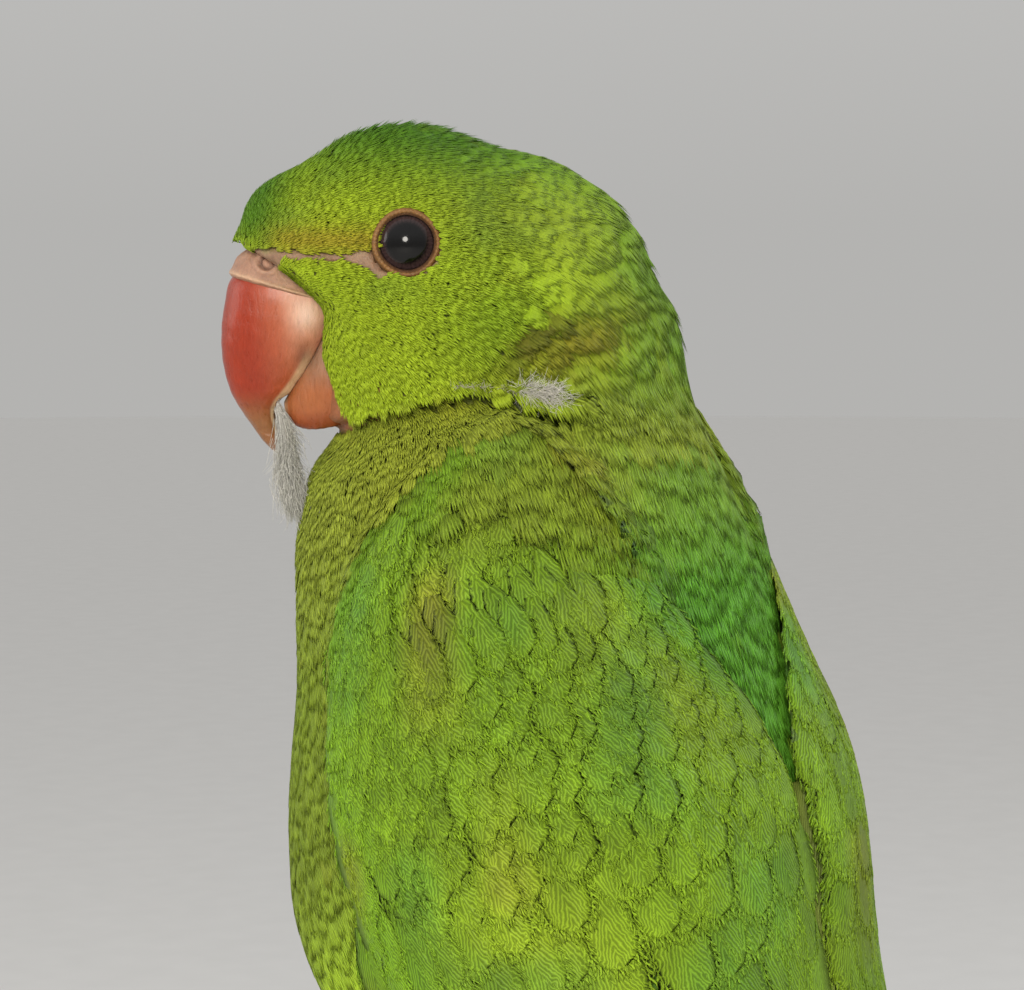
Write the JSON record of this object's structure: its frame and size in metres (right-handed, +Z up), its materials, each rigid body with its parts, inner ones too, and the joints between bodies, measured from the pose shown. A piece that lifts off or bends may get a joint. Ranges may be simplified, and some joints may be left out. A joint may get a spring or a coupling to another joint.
{
  "type": "juvenile rose-ringed parakeet on a display stand",
  "caption": "Life-size still model of a young green parakeet with a coral-red hooked bill and a long tail, perched upright with its head turned left, on a plain display stand.",
  "frame": {"origin": "centre of the stand's underside, on the floor", "axes": "+Z up; -Y is the way the bird's breast faces; +X is the bird's left, along the perch"},
  "size_m": [0.124, 0.1594, 0.3003],
  "materials": {
    "head_feathers": "soft, fine feathers, yellow-green",
    "neck_feathers": "soft, fine feathers, olive green",
    "body_feathers": "soft feathers, yellowish green",
    "rump_feathers": "soft feathers, bright green",
    "wing_feathers": "scale-like feathers with paler edges, green with olive patches",
    "flight_feathers": "long stiff feathers, blue-green with dark edges",
    "tail_feathers": "long stiff feathers, green turning blue-green, yellowish beneath",
    "leg_skin": "scaly grey skin",
    "bill_horn": "smooth horn, coral red with a cream cutting edge",
    "cere_skin": "bare pale pink skin",
    "eye": "wet and glossy, dark brown iris round a black pupil",
    "down": "loose grey-white down",
    "claw_horn": "dark grey horn",
    "bark": "rough bark with bare cut ends",
    "stand_wood": "dark stained wood, satin",
    "stand_steel": "satin steel rod"
  },
  "bodies": {
    "root": {"bill_lower": "bill_horn", "bill_upper": "bill_horn", "cere": "cere_skin", "claw_left_1": "claw_horn", "claw_left_2": "claw_horn", "claw_left_3": "claw_horn", "claw_left_4": "claw_horn", "claw_right_1": "claw_horn", "claw_right_2": "claw_horn", "claw_right_3": "claw_horn", "claw_right_4": "claw_horn", "down_feather": "down", "eye_left": "eye", "eye_right": "eye", "foot_left": "leg_skin", "foot_right": "leg_skin", "head": "head_feathers", "neck": "neck_feathers", "perch": "bark", "primaries_left": "flight_feathers", "primaries_right": "flight_feathers", "rump": "rump_feathers", "stand_base": "stand_wood", "stand_rod": "stand_steel", "tail": "tail_feathers", "thigh_left": "body_feathers", "thigh_right": "body_feathers", "trunk": "body_feathers", "wing_left": "wing_feathers", "wing_right": "wing_feathers"}
  },
  "joints": []
}
